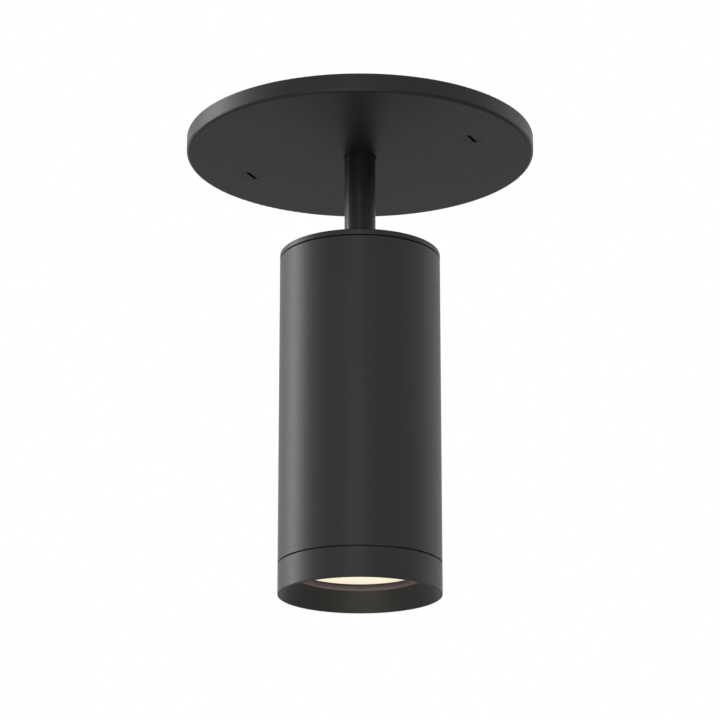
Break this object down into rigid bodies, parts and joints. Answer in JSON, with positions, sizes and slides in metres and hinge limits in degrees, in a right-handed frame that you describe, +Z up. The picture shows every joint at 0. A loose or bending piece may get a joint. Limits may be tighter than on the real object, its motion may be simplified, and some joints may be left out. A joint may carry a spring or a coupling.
{
  "type": "retractable spotlight",
  "caption": "Ceiling spotlight with a round canopy, a telescopic stem that pushes up into the head, and a cylindrical head that turns and tilts on a hidden knuckle.",
  "frame": {"origin": "centre of the canopy on the ceiling plane, midway between its two screws", "axes": "+Z up into the ceiling, X along the line through the two canopy screws, +Y to the side that the light points to when the head is tilted"},
  "size_m": [0.127, 0.127, 0.183],
  "materials": {
    "black_paint": "matte",
    "black_oxide": "satin",
    "zinc_steel": "satin",
    "acetal": "satin",
    "nitrile": "matte",
    "silicone": "matte",
    "plain_aluminium": "satin",
    "black_anodised": "matte",
    "white_plastic": "matte",
    "led_ceramic": "matte",
    "phosphor": "satin",
    "reflector_metal": "polished",
    "opal_lens": "matte"
  },
  "bodies": {
    "ceiling": {"canopy": "black_paint", "canopy_screws": "black_oxide", "stem_mount": "plain_aluminium", "mount_screws": "zinc_steel", "hub_set_screws": "black_oxide", "stem_tube": "black_paint", "guide_bush": "acetal", "bush_tension_ring": "nitrile", "stem_entry_bush": "white_plastic", "earth_screw": "zinc_steel"},
    "stem": {"inner_tube": "zinc_steel", "stop_collar": "zinc_steel", "lead_grommet": "nitrile", "stem_flange": "zinc_steel"},
    "swivel": {"swivel_knuckle": "black_oxide", "swivel_nut": "black_oxide", "swivel_friction_washer": "acetal", "swivel_disc_spring": "zinc_steel", "pan_stop_pin": "zinc_steel", "pivot_screws": "black_oxide", "pivot_friction_discs": "acetal", "pivot_disc_springs": "zinc_steel"},
    "head": {"body_tube": "black_paint", "top_cap": "black_paint", "cap_screws": "black_oxide", "pivot_bracket": "zinc_steel", "bracket_screws": "zinc_steel", "bulkhead": "plain_aluminium", "bulkhead_grommet": "nitrile", "pillars": "zinc_steel", "pillar_screws": "zinc_steel", "heatsink": "black_anodised", "heatsink_screws": "zinc_steel", "led_board": "led_ceramic", "led_emitter": "phosphor", "led_holder": "white_plastic", "holder_screws": "zinc_steel", "reflector": "reflector_metal", "lens_gasket": "silicone", "diffuser_lens": "opal_lens", "bezel": "black_paint", "bezel_oring": "nitrile"}
  },
  "joints": [
    {"name": "retract", "type": "slide", "parent": "ceiling", "child": "stem", "axis": [0, 0, 1], "range_m": [0, 0.03]},
    {"name": "pan", "type": "hinge", "parent": "stem", "child": "swivel", "pos_m": [0, 0, -0.0978], "axis": [0, 0, 1], "range_deg": [-165, 165]},
    {"name": "tilt", "type": "hinge", "parent": "swivel", "child": "head", "pos_m": [0, 0, -0.0978], "axis": [1, 0, 0], "range_deg": [0, 90]}
  ]
}
